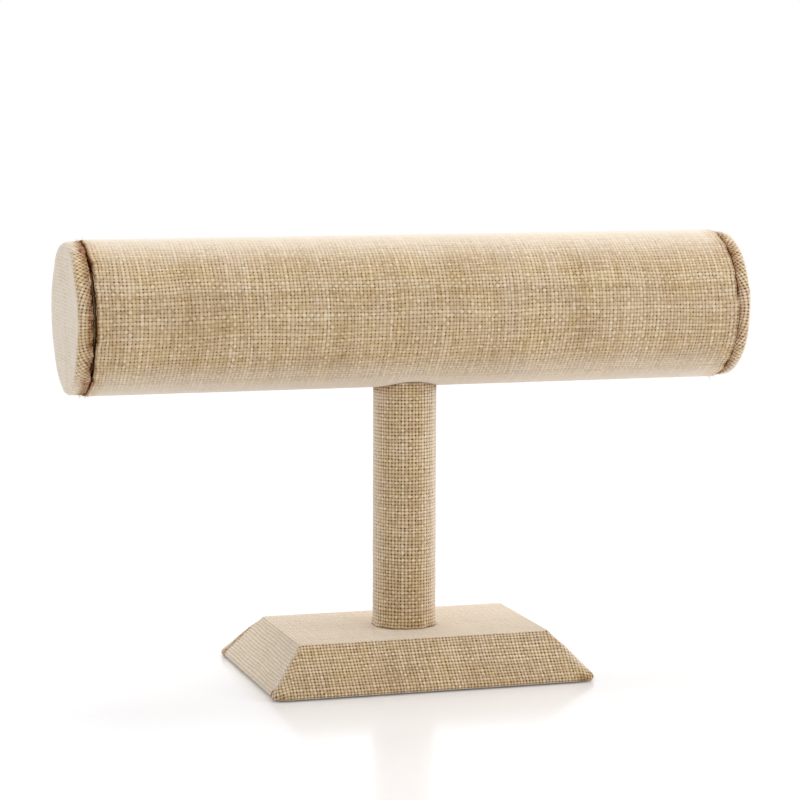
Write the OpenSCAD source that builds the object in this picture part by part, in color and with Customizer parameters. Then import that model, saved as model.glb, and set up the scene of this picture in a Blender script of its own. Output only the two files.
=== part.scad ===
// T-bar display stand: a round bar on a round post and a bevelled base.
// Every face that shows is natural linen, glued over board or wood.
// The origin is the centre of the underside, with X along the bar and Z up.

/* [Bar] */
// Length of the bar over its two end caps
bar_l = 230; // [120:1:400]
// Diameter of the bar over its linen
bar_d = 50.8; // [40:0.2:80]
// Height of the bar's axis above the table
bar_axis_h = 122.5; // [105:0.5:200]
// Wall of the rolled board tube inside the bar
tube_wall = 2.5; // [1.5:0.1:5]
// Length of linen turned into each end of the tube
bar_hem_l = 10; // [7:0.5:20]
// Width of the smooth band where the bar's linen folds over a tube end
bar_band_w = 2; // [1:0.5:5]
// Angle of the bar's lap seam, from straight down towards the back
bar_seam_angle = 60; // [50:1:120]

/* [End caps] */
// Thickness of the board disc in a cap
cap_board_t = 2.8; // [1.2:0.1:5]
// Rounding of the board disc's edges
cap_edge_r = 0.6; // [0.2:0.05:0.9]
// How much smaller the covered cap is than the bar, on the radius
cap_step = 0.4; // [0:0.1:1.5]
// Gap left between a cap and the turned edge of the bar's linen
cap_gap = 0.5; // [0.2:0.05:0.8]
// Width of linen turned onto the back of a cap
cap_hem_w = 9; // [5:0.5:14]
// Number of tabs that this turned linen is snipped into
cap_tabs = 20; // [8:1:36]
// Thickness of the plug that holds a cap in the tube
plug_t = 6; // [3:0.5:7]
// Clearance round the plug, on the radius
plug_clear = 0.2; // [0.1:0.05:0.5]

/* [Post] */
// Diameter of the post over its linen
post_d = 21.3; // [16:0.1:30]
// Clearance between the post's saddle and the bar
saddle_clear = 0.1; // [0.05:0.05:0.3]

/* [Base] */
// Length of the base at its lower edge
base_l = 110; // [90:0.5:180]
// Width of the base at its lower edge
base_w = 78; // [60:0.5:120]
// Length of the base's flat top
base_top_l = 87.5; // [50:0.5:88]
// Width of the base's flat top
base_top_w = 51; // [34:0.5:56]
// Height of the base's top above the table
base_h = 15.5; // [13:0.1:30]
// Radius of the base's corners at the lower edge, seen from above
base_corner_r = 4; // [2:0.1:10]
// Radius of the base's corners at the top, seen from above
base_top_corner_r = 1.4; // [1.2:0.1:4]
// Width of linen turned under the base
base_hem_w = 12; // [8:0.5:20]
// Width of a corner's fold at the lower edge
fold_w = 6; // [3:0.5:9]
// Height of a corner's fold above the linen beside it
fold_t = 0.5; // [0.2:0.05:0.8]
// How far the felt pad stands out below the turned linen
pad_proud = 0.5; // [0.2:0.1:1.5]
// Gap round the felt pad
pad_gap = 0.5; // [0.2:0.1:1.5]

/* [Linen] */
// Spacing of the linen's threads
thread_pitch = 1.15; // [0.9:0.05:2]
// Depth of the grooves between two threads
thread_groove = 0.25; // [0.1:0.05:0.35]
// Thickness of the linen
linen_t = 0.8; // [0.5:0.05:1]
// Glue line under the linen
glue_t = 0.1; // [0.05:0.05:0.2]
// Overlap of the linen at a seam
lap_w = 8; // [4:0.5:10]
// Width of a slit where the turned linen is cut
slit_w = 0.4; // [0.2:0.05:0.8]

/* [Screws] */
// Diameter of a screw's shank
screw_d = 4; // [3:0.1:5]
// Diameter of a screw's head
screw_head_d = 8; // [6.5:0.1:9]
// Height of a screw's head
screw_head_h = 2.6; // [1.8:0.1:3.5]
// Length of a screw inside the post
screw_bite = 20; // [12:0.5:25]
// Length of a screw's point
screw_point_l = 4; // [2:0.5:8]
// Clearance of a screw in what it passes through, on the radius
screw_clear = 0.3; // [0.1:0.05:0.6]
// Clearance of a screw in its pilot hole, on the radius
pilot_clear = 0.05; // [0.02:0.01:0.1]
// Diameter of a washer
washer_d = 10; // [9.5:0.1:12]
// Thickness of a washer
washer_t = 1; // [0.5:0.1:1.6]
// Depth from the block's underside to the seat of the base's screw
screw_sink = 5; // [4.8:0.1:6]

/* [Hidden] */
$fn = 96;

// How far a covered face lies outside the board or wood under it
skin = linen_t + glue_t;

// A cap, from its outer face inwards
cap_t = cap_board_t + 2 * skin;
cap_r = bar_d / 2 - cap_step;
cap_board_r = cap_r - skin;

// The tube, which ends one skin and one gap behind each cap
bar_r = bar_d / 2;
tube_r = bar_r - skin;
tube_bore_r = tube_r - tube_wall;
tube_l = bar_l - 2 * (cap_t + cap_gap + skin);
plug_r = tube_bore_r - skin - plug_clear;
threads_l = tube_l - 2 * bar_band_w;

// The post, between the base's top and the bar's underside
post_r = post_d / 2;
core_r = post_r - skin;
saddle_r = bar_r + saddle_clear;

// The base block, which the linen covers on every side
base_low_z = pad_proud;
block_low_z = base_low_z + skin;
block_top_z = base_h - skin;
block_h = block_top_z - block_low_z;
block_half_l = base_l / 2 - skin;
block_half_w = base_w / 2 - skin;
bevel_l = (base_l - base_top_l) / 2;
bevel_w = (base_w - base_top_w) / 2;
block_corner_r = base_corner_r - skin;
block_top_corner_r = base_top_corner_r - skin;
opening_half_l = block_half_l - base_hem_w;
opening_half_w = block_half_w - base_hem_w;

// The washers' seats: on the tube's curved inner wall, and in the block
bar_seat_z = bar_axis_h - sqrt(pow(tube_bore_r, 2) - pow(washer_d / 2, 2)) + glue_t;
base_seat_z = block_low_z + screw_sink;

LINEN = [0.78, 0.68, 0.53];
BOARD = [0.72, 0.58, 0.42];
WOOD = [0.82, 0.68, 0.48];
FELT = [0.27, 0.24, 0.22];
STEEL = [0.72, 0.72, 0.74];

// Lays something that stands along Z along the bar's axis instead
module along_bar() {
    translate([0, 0, bar_axis_h])
        rotate([0, 90, 0])
            children();
}

// Outline of linen over a round face, with a ridge for each thread that runs along the face
module threaded_disc(r) {
    count = round(2 * PI * r / thread_pitch);
    crest_r = r - 0.01;
    polygon([
        for (i = [0 : 2 * count - 1])
            (crest_r - (i % 2) * thread_groove) * [cos(i * 180 / count), sin(i * 180 / count)]
    ]);
}

// Crests and grooves of the threads across a straight face, from point a to point b
function thread_row(a, b) =
    let (
        count = floor(norm(b - a) / thread_pitch),
        way = (b - a) / norm(b - a),
        out = [-way[1], way[0]]
    )
    [
        for (i = [0 : 2 * count])
            a + (b - a) * i / (2 * count) + out * (i % 2 == 0 ? 0.05 : -thread_groove)
    ];

// One strip of linen over a round face: its raw edge and the ramp where it climbs
module lap_outline(r) {
    sweep = lap_w / r * 180 / PI;
    ramp = 3 * linen_t / r * 180 / PI;
    far = 2 * r;
    under = r - linen_t / 2;
    over = r + linen_t;
    spare = 0.1;
    intersection() {
        difference() {
            threaded_disc(over);
            circle(under);
        }
        polygon([
            [0, 0],
            [far, 0],
            far * [cos(sweep / 2), sin(sweep / 2)],
            far * [cos(sweep), sin(sweep)],
            (over + spare) * [cos(sweep), sin(sweep)],
            (under - spare) * [cos(sweep + ramp), sin(sweep + ramp)]
        ]);
    }
}

// Section of linen folded round the end of a wall from r_in to r_out, ending at length 0
module turned_section(r_in, r_out, outer_l, inner_l) {
    difference() {
        union() {
            translate([r_in, -outer_l])
                square([r_out + skin - r_in, outer_l]);
            translate([r_in - skin, -inner_l])
                square([skin + r_out - r_in, inner_l]);
            translate([r_in, -inner_l])
                square([r_out - r_in, inner_l + skin]);
            translate([r_in, 0])
                circle(skin);
            translate([r_out, 0])
                circle(skin);
        }
        translate([r_in - glue_t, -outer_l - 1])
            square([r_out - r_in + 2 * glue_t, outer_l + 1 + glue_t]);
    }
}

// The rolled board tube inside the bar, with its screw hole
module bar_tube() {
    color(BOARD)
        difference() {
            along_bar()
                translate([0, 0, -tube_l / 2])
                    difference() {
                        cylinder(h = tube_l, r = tube_r);
                        translate([0, 0, -1])
                            cylinder(h = tube_l + 2, r = tube_bore_r);
                    }
            bar_screw_hole();
        }
}

// The hole in the bar's underside for its screw
module bar_screw_hole() {
    translate([0, 0, bar_axis_h - bar_r - 1])
        cylinder(h = bar_r, r = screw_d / 2 + screw_clear);
}

// One half of the bar's linen, from the middle to the end that is turned in
module bar_cover_half() {
    translate([0, 0, tube_l / 2])
        rotate_extrude($fn = 192)
            turned_section(tube_bore_r, tube_r, tube_l / 2, bar_hem_l);
}

// The linen round the bar: turned in at both ends and lapped along the back
module bar_cover() {
    color(LINEN)
        difference() {
            along_bar() {
                difference() {
                    union() {
                        bar_cover_half();
                        mirror([0, 0, 1])
                            bar_cover_half();
                    }
                    translate([0, 0, -threads_l / 2])
                        linear_extrude(threads_l)
                            difference() {
                                circle(bar_r + 1);
                                threaded_disc(bar_r);
                            }
                }
                rotate([0, 0, bar_seam_angle])
                    translate([0, 0, -tube_l / 2])
                        linear_extrude(tube_l)
                            lap_outline(bar_r);
            }
            bar_screw_hole();
        }
}

// Puts a cap, drawn with its outer face up at height 0, on one end of the bar
module at_end(side) {
    translate([side * bar_l / 2, 0, bar_axis_h])
        rotate([0, side * 90, 0])
            children();
}

// A disc of thickness t with rounded edges, its upper face at height 0
module rounded_plate(r, t, edge_r) {
    translate([0, 0, -t])
        cylinder(h = t, r = r - edge_r);
    translate([0, 0, edge_r - t])
        cylinder(h = t - 2 * edge_r, r = r);
    for (z = [-edge_r, edge_r - t])
        translate([0, 0, z])
            rotate_extrude()
                translate([r - edge_r, 0])
                    intersection() {
                        circle(edge_r);
                        translate([-edge_r / 2, -edge_r])
                            square([2 * edge_r, 2 * edge_r]);
                    }
}

// The board disc that stiffens a cap
module cap_board(side) {
    color(BOARD)
        at_end(side)
            translate([0, 0, -skin])
                rounded_plate(cap_board_r, cap_board_t, cap_edge_r);
}

// Cuts the grooves between the threads that run straight across a cap's face
module cap_grooves() {
    face_r = cap_board_r - cap_edge_r - glue_t;
    intersection() {
        translate([0, 0, -1])
            cylinder(h = 2, r = face_r);
        rotate([90, 0, 0])
            translate([0, 0, -cap_r])
                linear_extrude(2 * cap_r)
                    polygon(concat(thread_row([-cap_r, 0], [cap_r, 0]), [[cap_r, 2], [-cap_r, 2]]));
    }
}

// The linen of a cap: over the face and the rim, and turned onto the back in tabs
module cap_cover(side) {
    tab_r = cap_board_r - cap_hem_w;
    color(LINEN)
        at_end(side)
            difference() {
                rounded_plate(cap_r, cap_t, cap_edge_r + skin);
                cap_grooves();
                translate([0, 0, glue_t - skin])
                    rounded_plate(cap_board_r + glue_t, cap_board_t + 2 * glue_t, cap_edge_r + glue_t);
                translate([0, 0, -cap_t - 1])
                    cylinder(h = 1 + skin, r = tab_r);
                for (i = [0 : cap_tabs - 1])
                    rotate([0, 0, i * 360 / cap_tabs])
                        translate([tab_r - 1, -slit_w / 2, -cap_t - 1])
                            cube([cap_hem_w + 1 - cap_edge_r, slit_w, 1 + skin]);
            }
}

// The plug behind a cap, glued to its tabs and pushed into the tube
module cap_plug(side) {
    color(WOOD)
        at_end(side)
            translate([0, 0, -cap_t - glue_t - plug_t])
                cylinder(h = plug_t, r = plug_r);
}

// Cuts the saddle in which the bar lies
module saddle() {
    along_bar()
        translate([0, 0, -post_d])
            cylinder(h = 2 * post_d, r = saddle_r);
}

// The wooden dowel of the post, with a pilot hole at each end
module post_core() {
    pilot_r = screw_d / 2 + pilot_clear;
    pilot_l = screw_bite + 1;
    color(WOOD)
        difference() {
            translate([0, 0, base_h])
                cylinder(h = bar_axis_h - base_h, r = core_r);
            saddle();
            translate([0, 0, base_h - 1])
                cylinder(h = 1 + pilot_l, r = pilot_r);
            translate([0, 0, bar_axis_h - saddle_r - pilot_l])
                cylinder(h = pilot_l + 1, r = pilot_r);
        }
}

// The linen sleeve of the post, lapped down the back
module post_cover() {
    lap_turn = 90 - lap_w / post_r * 90 / PI;
    sleeve_h = bar_axis_h - base_h;
    color(LINEN)
        difference() {
            translate([0, 0, base_h]) {
                linear_extrude(sleeve_h)
                    threaded_disc(post_r);
                rotate([0, 0, lap_turn])
                    linear_extrude(sleeve_h)
                        lap_outline(post_r);
            }
            translate([0, 0, base_h - 1])
                cylinder(h = sleeve_h + 2, r = core_r + glue_t);
            saddle();
        }
}

// One copy at each corner of a rectangle, at height z
module at_corners(half_l, half_w, z) {
    for (x = [-half_l, half_l])
        for (y = [-half_w, half_w])
            translate([x, y, z])
                children();
}

// Half the block's length or width at its foot, with every face moved out by d
function foot_half(half, bevel, d) = half + d * (norm([bevel, block_h]) + bevel) / block_h;

// The same at its top
function top_half(half, bevel, d) = half - bevel + d * (norm([bevel, block_h]) - bevel) / block_h;

// The bevelled block with every face moved out by d, and with sharp edges
module bevelled(d) {
    thin = 0.01;
    low_r = block_corner_r + d;
    top_r = block_top_corner_r + d;
    low_l = foot_half(block_half_l, bevel_l, d);
    low_w = foot_half(block_half_w, bevel_w, d);
    top_l = top_half(block_half_l, bevel_l, d);
    top_w = top_half(block_half_w, bevel_w, d);
    hull() {
        at_corners(low_l - low_r, low_w - low_r, block_low_z - d)
            cylinder(h = thin, r = low_r, $fn = 32);
        at_corners(top_l - top_r, top_w - top_r, block_top_z + d - thin)
            cylinder(h = thin, r = top_r, $fn = 32);
    }
}

// The outside of the base's linen, which rounds every edge of the block
module base_outside() {
    low_l = block_half_l - block_corner_r;
    low_w = block_half_w - block_corner_r;
    top_l = block_half_l - bevel_l - block_top_corner_r;
    top_w = block_half_w - bevel_w - block_top_corner_r;
    hull() {
        at_corners(low_l, low_w, block_low_z)
            rounded_disc(block_corner_r);
        at_corners(top_l, top_w, block_top_z)
            rounded_disc(block_top_corner_r);
    }
}

// A disc of radius r with one skin of linen round it
module rounded_disc(r) {
    rotate_extrude($fn = 32)
        translate([r, 0])
            intersection() {
                circle(skin, $fn = 32);
                translate([0, -skin])
                    square([skin, 2 * skin]);
            }
}

// Section across the base with the threads' grooves in two slopes, and in the top where wanted
module threaded_section(half, bevel, on_top) {
    foot = foot_half(half, bevel, skin);
    top = top_half(half, bevel, skin);
    polygon(concat(
        [[foot + 1, base_low_z - 1], [-foot - 1, base_low_z - 1]],
        thread_row([-foot, base_low_z], [-top, base_h]),
        on_top ? thread_row([-top, base_h], [top, base_h]) : [[-top, base_h + 1], [top, base_h + 1]],
        thread_row([top, base_h], [foot, base_low_z])
    ));
}

// The outside of the base's linen with its threads: lengthwise on the top and the long slopes
module base_threads() {
    intersection() {
        base_outside();
        rotate([90, 0, 90])
            translate([0, 0, -base_l])
                linear_extrude(2 * base_l)
                    threaded_section(block_half_w, bevel_w, true);
        rotate([90, 0, 0])
            translate([0, 0, -base_w])
                linear_extrude(2 * base_w)
                    threaded_section(block_half_l, bevel_l, false);
    }
}

// The wedges beside the ridges at one end, seen along X, in which the corners' folds lie
module fold_wedges() {
    top_half_w = base_top_w / 2;
    low_half_w = base_w / 2;
    for (side = [-1, 1])
        rotate([90, 0, 90])
            linear_extrude(base_l)
                polygon([
                    [side * top_half_w, base_h],
                    [side * (low_half_w - fold_w), base_low_z - 1],
                    [side * (low_half_w + 1), base_low_z - 1],
                    [side * (low_half_w + 1), base_h]
                ]);
}

// The hole up through the base for its screw
module base_screw_hole() {
    cylinder(h = base_h + 1, r = screw_d / 2 + screw_clear);
}

// The bevelled wooden block, with a sunk seat for the screw
module base_block() {
    color(WOOD)
        difference() {
            bevelled(0);
            base_screw_hole();
            translate([0, 0, block_low_z - 1])
                cylinder(h = 1 + screw_sink, r = washer_d / 2 + screw_clear);
        }
}

// The linen of the base: folded at the four ridges, turned under and mitred
module base_cover() {
    slope_l = norm([bevel_l, block_h]) / block_h;
    color(LINEN)
        difference() {
            union() {
                base_threads();
                for (side = [-1, 1])
                    intersection() {
                        translate([side * fold_t * slope_l, 0, 0])
                            base_threads();
                        rotate([0, 0, side > 0 ? 0 : 180])
                            fold_wedges();
                    }
            }
            bevelled(glue_t);
            translate([0, 0, base_low_z - 1])
                linear_extrude(2)
                    square([2 * opening_half_l, 2 * opening_half_w], center = true);
            for (x = [-1, 1])
                for (y = [-1, 1])
                    translate([x * opening_half_l, y * opening_half_w, base_low_z - 1])
                        rotate([0, 0, atan2(y, x)])
                            translate([-1, -slit_w / 2, 0])
                                cube([base_hem_w, slit_w, 2]);
            base_screw_hole();
        }
}

// The felt pad on which the stand rests, inside the turned linen
module base_pad() {
    color(FELT)
        linear_extrude(block_low_z)
            square(
                [2 * (opening_half_l - pad_gap), 2 * (opening_half_w - pad_gap)],
                center = true
            );
}

// A pan-head wood screw, with its head up and its seat at height 0
module wood_screw(length) {
    slot_l = 0.55 * screw_head_d;
    slot_w = 0.12 * screw_head_d;
    dome_r = screw_head_h / 2 + pow(screw_head_d, 2) / (8 * screw_head_h);
    difference() {
        union() {
            intersection() {
                cylinder(h = screw_head_h, r = screw_head_d / 2 - 0.2);
                translate([0, 0, screw_head_h - dome_r])
                    sphere(dome_r);
            }
            translate([0, 0, screw_point_l - length])
                cylinder(h = length - screw_point_l + 0.5, r = screw_d / 2);
            translate([0, 0, -length])
                cylinder(h = screw_point_l, r1 = 0.2, r2 = screw_d / 2);
        }
        for (turn = [0, 90])
            rotate([0, 0, turn])
                translate([-slot_l / 2, -slot_w / 2, screw_head_h / 2])
                    cube([slot_l, slot_w, screw_head_h]);
    }
}

// A flat washer, standing on height 0
module washer() {
    difference() {
        cylinder(h = washer_t, r = washer_d / 2);
        translate([0, 0, -1])
            cylinder(h = washer_t + 2, r = screw_d / 2 + screw_clear);
    }
}

// The screw from inside the tube down into the post
module bar_screw() {
    top_z = bar_seat_z + washer_t;
    color(STEEL)
        translate([0, 0, top_z])
            wood_screw(top_z - (bar_axis_h - saddle_r) + screw_bite);
}

module bar_washer() {
    color(STEEL)
        translate([0, 0, bar_seat_z])
            washer();
}

// The screw from the underside of the base up into the post
module base_screw() {
    low_z = base_seat_z - washer_t;
    color(STEEL)
        translate([0, 0, low_z])
            rotate([180, 0, 0])
                wood_screw(base_h - low_z + screw_bite);
}

module base_washer() {
    color(STEEL)
        translate([0, 0, base_seat_z - washer_t])
            washer();
}

bar_tube();
bar_cover();
cap_board(-1);  // left_cap_board
cap_cover(-1);  // left_cap_cover
cap_plug(-1);  // left_cap_plug
cap_board(1);  // right_cap_board
cap_cover(1);  // right_cap_cover
cap_plug(1);  // right_cap_plug
post_core();
post_cover();
base_block();
base_cover();
base_pad();
bar_screw();
bar_washer();
base_screw();
base_washer();
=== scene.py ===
# %% [markdown]
# A T-bar display stand in natural linen.
#
# The stand is a rolled board tube, a wooden dowel and a bevelled wooden block, and
# everything that shows is one cloth: a coarse plain-woven linen, glued down with its
# edges turned in. The shapes are simple, so the cloth is what this scene is about.
# The board, wood, felt and screws stay as the frame gives them, and each piece of
# linen is made again here as a surface whose threads really rise and dip.

# %% Load the frame
import math

import bpy
import numpy as np
from mathutils import Matrix, Vector


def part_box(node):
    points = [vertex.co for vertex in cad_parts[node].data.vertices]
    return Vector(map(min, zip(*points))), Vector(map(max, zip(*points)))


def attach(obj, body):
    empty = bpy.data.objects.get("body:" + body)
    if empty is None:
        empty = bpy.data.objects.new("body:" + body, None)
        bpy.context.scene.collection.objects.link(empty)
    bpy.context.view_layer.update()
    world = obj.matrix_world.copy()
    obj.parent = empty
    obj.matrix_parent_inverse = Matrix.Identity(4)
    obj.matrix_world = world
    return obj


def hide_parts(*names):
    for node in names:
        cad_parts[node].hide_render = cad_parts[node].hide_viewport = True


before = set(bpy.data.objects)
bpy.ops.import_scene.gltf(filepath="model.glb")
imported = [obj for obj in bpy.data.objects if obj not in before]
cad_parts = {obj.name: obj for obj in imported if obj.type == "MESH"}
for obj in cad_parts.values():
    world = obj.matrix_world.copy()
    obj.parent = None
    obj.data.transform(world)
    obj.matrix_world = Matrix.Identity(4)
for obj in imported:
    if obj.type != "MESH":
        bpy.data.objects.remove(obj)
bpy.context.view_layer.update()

MM = 0.001

# %% [markdown]
# The stand's own sizes come from the frame, so the linen lands on the board and wood
# that carry it. The few that no box tells, such as the width of the seam, are named
# here in millimetres.

# %% Sizes of the stand
def box_of(node):
    """Lowest and highest corner of a CAD node as two arrays."""
    low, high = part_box(node)
    return np.array(low), np.array(high)


CLOTH_T = 0.8 * MM
GLUE_T = 0.1 * MM
TUBE_WALL = 2.5 * MM
BAR_HEM = 10 * MM
BAR_FOLD_R = 0.45 * MM
BAR_SEAM = math.radians(60)
LAP_W = 8 * MM
RAMP_W = 2.4 * MM
CAP_HEM = 9 * MM
CAP_TABS = 20
CAP_FOLD_R = 0.4 * MM
MARGIN_SWELL = 0.4 * MM
BOARD_EDGE_R = 0.6 * MM
SADDLE_GAP = 0.1 * MM
BEVEL = np.array([11.25, 13.5]) * MM
BLOCK_CORNER_R = 3.1 * MM
BLOCK_TOP_CORNER_R = 0.5 * MM
BASE_HEM = 12 * MM
FOLD_W = 6 * MM
FOLD_T = 0.5 * MM

tube_low, tube_high = box_of("bar_tube")
board_low, board_high = box_of("right_cap_board")
core_low, core_high = box_of("post_core")
block_low, block_high = box_of("base_block")

bar_axis_z = (tube_low[2] + tube_high[2]) / 2
tube_r = tube_high[2] - bar_axis_z
tube_half = tube_high[0]
skin = CLOTH_T + GLUE_T
bar_r = tube_r + skin
cap_board_r = board_high[2] - bar_axis_z
core_r = core_high[0]
post_r = core_r + skin
post_low_z = core_low[2]

print(f"bar radius {bar_r / MM:.2f} mm, axis at {bar_axis_z / MM:.2f} mm, skin {skin / MM:.2f} mm")

# %% [markdown]
# Plain weave is the simplest cloth there is: each thread passes over one and under
# the next. Its height is worked out here from two numbers, how many threads across (s)
# and how many threads up (t) a point lies. Between threads the cloth drops to a small
# hole. That is real shape and not a trick of the shading, so the holes close up by
# themselves where the cloth is seen from the side, as they do on the rims and the top
# of the base.

# %% The weave as a height
PITCH = 1.15 * MM
SWAY = 0.09 * MM
ROUND = 0.22 * MM
HOLE = 0.5 * MM
SLUB = 0.06 * MM
STRAY = 0.13 * MM
PROUD = 0.08 * MM
print(f"weave: a thread every {PITCH / MM:.2f} mm, a relief of {HOLE / MM:.1f} mm over the holes")


def smooth(low, high, x):
    """0 below low, 1 above high, and a cubic with level ends between them."""
    f = np.clip((x - low) / (high - low), 0, 1)
    return f * f * (3 - 2 * f)


def along_threads(thread, along, grain, seed):
    """A value from -1 to 1 for each place along each thread: random values every
    grain threads, joined by cubics, with a row of them for each thread."""
    table = np.random.default_rng(seed).uniform(-1, 1, (257, 251))
    row = np.mod(thread.astype(int), 257)
    place = along / grain
    step = np.floor(place).astype(int)
    blend = smooth(0, 1, place - step)
    return (1 - blend) * table[row, step % 251] + blend * table[row, (step + 1) % 251]


def weave_relief(s, t, seed):
    """How far the cloth lies above the even surface that the sizes give.

    A thread's section is half a sine, so across threads it falls to nothing at each
    line between two of them. Along threads its middle follows half a sine too, over
    at one crossing and under at the next. The cloth is the higher of the two threads,
    and where both have fallen away it is a hole. The highest points stand a little
    proud of the even surface, and all the rest lies below it."""
    column, row = np.floor(s), np.floor(t)
    over = np.where((column + row) % 2 == 0, 1.0, -1.0)
    wave_s, wave_t = np.abs(np.sin(np.pi * s)), np.abs(np.sin(np.pi * t))
    warp = ROUND * np.sqrt(wave_t) + over * wave_s * SWAY
    weft = ROUND * np.sqrt(wave_s) - over * wave_t * SWAY
    warp = warp + SLUB * along_threads(row, s, 4, seed) * wave_t
    weft = weft + SLUB * along_threads(column, t, 4, seed + 1) * wave_s
    pit = 1 - smooth(0, 0.5, np.maximum(wave_s, wave_t))
    return np.maximum(warp, weft) - (ROUND + SWAY) - (HOLE - ROUND - SWAY) * pit + PROUD


# %% [markdown]
# Flax is an uneven fibre and the cloth is loosely woven, so no two threads are equally
# wide and none runs quite straight.

# %% Where the threads lie
def thread_lines(count, per_thread, seed, spread=0.14):
    """Positions from 0 to 1 of grid lines over count threads, per_thread lines to each,
    where every thread has a width of its own."""
    width = 1 + spread * np.random.default_rng(seed).uniform(-1, 1, count)
    edge = np.concatenate([[0], np.cumsum(width)]) / width.sum()
    return np.interp(np.arange(count * per_thread + 1) / per_thread, np.arange(count + 1), edge)


def drift(s, t, seed):
    """A slow wave from about -1 to 1 over the cloth: five sines of random direction,
    20 to 60 threads long."""
    r = np.random.default_rng(seed)
    total = 0
    for _ in range(5):
        way, length, phase = r.uniform(0, 2 * np.pi), r.uniform(20, 60), r.uniform(0, 2 * np.pi)
        total = total + np.sin(2 * np.pi * (s * np.cos(way) + t * np.sin(way)) / length + phase)
    return total / 2.5


def wander(across, along, seed):
    """How far the line between two threads strays at a place along it, from -1 to 1. In
    between, a thread's own place changes straight from one line's value to the next."""
    line = np.floor(across)
    part = across - line
    first, second = (along_threads(line + k, along, 5, seed) for k in (0, 1))
    return STRAY * ((1 - part) * first + part * second)


def uneven(angle, seed, finest=12):
    """A wave from 0 to 1 round a circle, from sines of random phase, the finest with so
    many to the turn: how far a turned edge falls short of its line."""
    r = np.random.default_rng(seed)
    wave = 0
    for k in range(2, finest + 1):
        wave = wave + r.uniform(0.4, 1) / math.sqrt(k) * np.sin(k * angle + r.uniform(0, 2 * np.pi))
    return 0.5 + 0.5 * np.tanh(wave)


# %% [markdown]
# Every piece of linen is a grid of points, in rows and columns, that closes on itself.
# Where the shape makes points of the grid meet, as where a row of threads is cut off
# by an edge, they become one point, and a square that loses a side becomes a triangle.
# Inner faces, which nobody sees, use the same grid with most of its columns gathered
# into a few.

# %% From a grid of points to a mesh
SAME_POINT = 0.0005 * MM
OFF_THE_HALVES = 0.1234567
RAW_EDGE_THREADS = 0.3


def add_mesh(name, co, corner, starts):
    """A smooth object from the places of its points, the point at each corner of each
    face in turn, and where in that list each face starts."""
    mesh = bpy.data.meshes.new(name)
    mesh.vertices.add(len(co))
    mesh.vertices.foreach_set("co", co.ravel())
    mesh.loops.add(len(corner))
    mesh.loops.foreach_set("vertex_index", corner.astype(np.int32))
    mesh.polygons.add(len(starts))
    mesh.polygons.foreach_set("loop_start", starts.astype(np.int32))
    mesh.update(calc_edges=True)
    mesh.shade_smooth()
    piece = bpy.data.objects.new(name, mesh)
    bpy.context.scene.collection.objects.link(piece)
    print(f"{name}: {len(corner) - 2 * len(starts)} triangles, {len(co)} points")
    return piece


def squares(grid):
    """The four corners of each grid square, in order round it."""
    return np.stack([grid[:-1, :-1], grid[:-1, 1:], grid[1:, 1:], grid[1:, :-1]], axis=2)


def closed_grid(grid, sleeve):
    """The grid with its first column added again at the end, and its first row too if it
    is a sleeve. A disc's first and last rows are single points."""
    grid = np.concatenate([grid, grid[:1]]) if sleeve else grid
    return np.concatenate([grid, grid[:, :1]], axis=1)


def add_linen(name, points, threads, columns, stain_and_shade, piece_shade, sleeve):
    """A closed mesh from rows and columns of points. In a sleeve the last column meets
    the first at a raw edge, and in a disc the cloth runs on. threads is each point's
    place in the weave and columns its number after any gathering; they make the UV maps
    threads and OFBake. Each point's stain is from 0 to 1, and over 1 in a drop of glue: it
    is amber glue in some places and painted shade in others. The number after it, from 0 to
    1 for the whole piece, is how much painted shade widens its holes and deepens its dips."""
    flat = points.reshape(-1, 3)
    near = np.round(flat / SAME_POINT + OFF_THE_HALVES).astype(np.int64)
    _, first, same = np.unique(near, axis=0, return_index=True, return_inverse=True)
    corner = squares(closed_grid(same.reshape(points.shape[:2]), sleeve)).reshape(-1, 4)
    threads = closed_grid(threads, sleeve)
    if sleeve:
        threads[:, -1] = threads[:, -2] + RAW_EDGE_THREADS
    columns = closed_grid(columns, sleeve)
    columns[:, -1] = points.shape[1]
    down = np.linspace(0, 1, len(columns))[:, None] + 0 * columns
    bake = np.stack([columns / points.shape[1], down], axis=2)

    kept = corner != np.roll(corner, -1, axis=1)
    kept &= (kept.sum(axis=1) > 2)[:, None]
    sizes = kept.sum(axis=1)
    sizes = sizes[sizes > 0]
    starts = np.cumsum(sizes) - sizes
    corner, co = corner[kept], flat[first]
    a, b, c, d = (co[corner[place]] for place in (starts, starts + 1, starts + 2, starts + sizes - 1))
    inside_out = (a * np.cross(b, c)).sum() + (a * np.cross(c, d)).sum() < 0
    order = np.arange(len(corner))
    if inside_out:
        order = np.repeat(2 * starts + sizes - 1, sizes) - order

    piece = add_mesh(name, co, corner[order], starts)
    for map_name, values in (("OFBake", bake), ("threads", threads)):
        place = squares(values).reshape(-1, 4, 2)[kept][order]
        piece.data.uv_layers.new(name=map_name).data.foreach_set("uv", place.ravel())
    for attribute, values in (("stain_and_shade", stain_and_shade.reshape(-1)[first]), ("piece_shade", np.full(len(co), piece_shade))):
        piece.data.attributes.new(attribute, "FLOAT", "POINT").data.foreach_set("value", values)
    return piece


def gathered(count, group, coarse):
    """A row of column numbers for each entry of coarse. Where it is true, each number is
    the nearest multiple of group."""
    number = np.arange(count)
    few = np.minimum(np.round(number / group).astype(int) * group, count - 1)
    return np.where(np.asarray(coarse)[:, None], few, number)


# %% [markdown]
# A turned edge is easiest to draw as a path in a section: along the face, round the rim,
# back on the other side, and then the same way home one cloth deeper. Carrying that path
# round an axis gives a shell that is closed, as real cloth is.

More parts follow.
